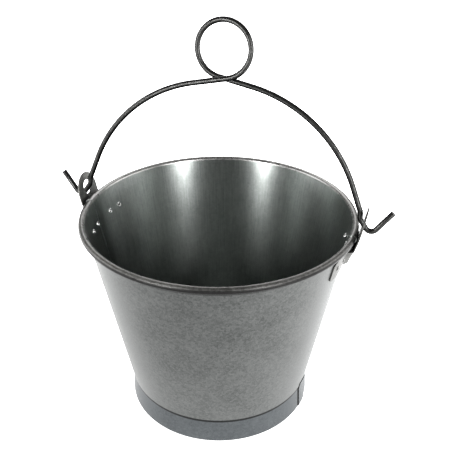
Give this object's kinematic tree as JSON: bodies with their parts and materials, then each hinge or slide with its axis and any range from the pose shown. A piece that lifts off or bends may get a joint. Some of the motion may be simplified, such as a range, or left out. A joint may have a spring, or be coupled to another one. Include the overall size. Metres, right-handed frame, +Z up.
{
  "type": "florist bucket",
  "caption": "Tapered galvanised steel pail with a wired rim, a foot hoop, riveted ears and a swinging rod bail that has a hanging ring at its top.",
  "frame": {"origin": "centre of the foot hoop on the floor", "axes": "+Z up along the pail's axis, X along the ears and the bail's pivot line, the bail leans back toward +Y"},
  "size_m": [0.3702, 0.3, 0.4346],
  "materials": {
    "galvanised_sheet": "dull spangled zinc",
    "galvanised_hoop": "smooth zinc",
    "ear_steel": "dull zinc",
    "rivet_steel": "dull zinc",
    "rim_wire_steel": "plain",
    "bail_rod": "dark drawn rod"
  },
  "bodies": {
    "bucket": {"body_front": "galvanised_sheet", "body_back": "galvanised_sheet", "rim_wire": "rim_wire_steel", "bottom_plate": "galvanised_sheet", "base_hoop": "galvanised_hoop", "ear_left": "ear_steel", "ear_right": "ear_steel", "rivet_right_front_outer": "rivet_steel", "rivet_right_front_inner": "rivet_steel", "rivet_right_back_inner": "rivet_steel", "rivet_right_back_outer": "rivet_steel", "rivet_left_back_outer": "rivet_steel", "rivet_left_back_inner": "rivet_steel", "rivet_left_front_inner": "rivet_steel", "rivet_left_front_outer": "rivet_steel"},
    "bail": {"bail_handle": "bail_rod"}
  },
  "joints": [
    {"name": "bail_swing", "type": "hinge", "parent": "bucket", "child": "bail", "pos_m": [0, 0, 0.24], "axis": [1, 0, 0], "range_deg": [-82.2, 96.8]}
  ]
}
